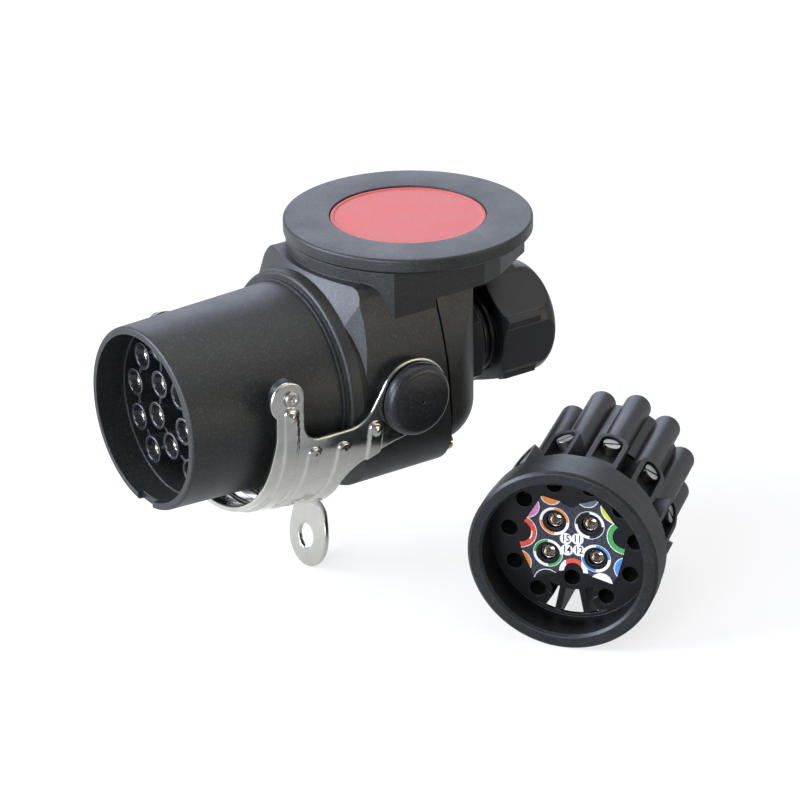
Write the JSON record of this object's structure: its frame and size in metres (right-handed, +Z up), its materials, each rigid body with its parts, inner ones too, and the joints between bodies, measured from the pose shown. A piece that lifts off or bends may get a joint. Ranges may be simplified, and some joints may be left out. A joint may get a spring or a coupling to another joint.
{
  "type": "trailer wiring connector",
  "caption": "Round black plug for trailer wiring with a swinging stirrup lever, a cable gland and a lidded elbow housing, with a loose contact insert beside it.",
  "frame": {"origin": "centre of the barrel's mouth, on the barrel's axis", "axes": "+X out of the barrel's mouth, +Z up towards the disc, +Y to the side of the loose insert"},
  "size_m": [0.1505, 0.1498, 0.1034],
  "materials": {
    "pa_black": "fine grained matt",
    "plate_red": "satin",
    "rubber_black": "matt",
    "brass": "satin",
    "gland_black": "semi-gloss",
    "cap_black": "satin",
    "stainless": "polished",
    "pa_insert": "satin",
    "zinc_steel": "satin",
    "label_black": "printed film"
  },
  "bodies": {
    "shell": {"barrel_sleeve": "pa_black", "collar_ring": "pa_black", "main_housing": "pa_black", "top_disc": "pa_black", "marking_plate": "plate_red", "rear_cover": "pa_black", "rear_gasket": "rubber_black", "corner_screws": "brass", "gland_body": "gland_black", "gland_locknut": "gland_black", "gland_seal": "rubber_black", "gland_claw": "gland_black", "pivot_bush_near": "stainless", "pivot_bush_far": "stainless", "pivot_cap_near": "cap_black", "pivot_cap_far": "cap_black", "contact_carrier": "pa_insert", "contact_sleeves": "brass", "terminal_screws": "zinc_steel", "carrier_seal": "rubber_black", "carrier_label": "label_black", "retaining_ring": "zinc_steel"},
    "stirrup": {"stirrup_lever": "stainless", "tip_pin_near": "stainless", "tip_pin_far": "stainless"},
    "roller_near": {"tip_roller_near": "cap_black"},
    "roller_far": {"tip_roller_far": "cap_black"},
    "gland_washer": {"gland_washer": "gland_black"},
    "gland_nut": {"gland_nut": "gland_black"},
    "loose_insert": {"loose_carrier": "pa_insert", "loose_contacts": "brass", "loose_terminal_screws": "zinc_steel", "loose_label": "label_black"}
  },
  "joints": [
    {"name": "stirrup_swing", "type": "hinge", "parent": "shell", "child": "stirrup", "pos_m": [-0.0714, 0, 0], "axis": [0, 1, 0], "range_deg": [0, 60]},
    {"name": "roller_near_spin", "type": "hinge", "parent": "stirrup", "child": "roller_near", "pos_m": [-0.029, 0.0307, 0.0106], "axis": [0, 1, 0], "continuous": true},
    {"name": "roller_far_spin", "type": "hinge", "parent": "stirrup", "child": "roller_far", "pos_m": [-0.029, -0.0307, 0.0106], "axis": [0, 1, 0], "continuous": true},
    {"name": "gland_travel", "type": "slide", "parent": "shell", "child": "gland_washer", "axis": [-1, 0, 0], "range_m": [0, 0.0031]},
    {"name": "nut_turn", "type": "hinge", "parent": "gland_washer", "child": "gland_nut", "pos_m": [-0.127, 0, -0.001], "axis": [-1, 0, 0], "range_deg": [0, 360]},
    {"name": "loose_lift", "type": "slide", "parent": "shell", "child": "loose_insert", "axis": [0, 0, 1], "range_m": [0, 0.06]}
  ],
  "couplings": [
    {"joint": "gland_travel", "follows": "nut_turn", "m_per_rad": 0.00047746}
  ]
}
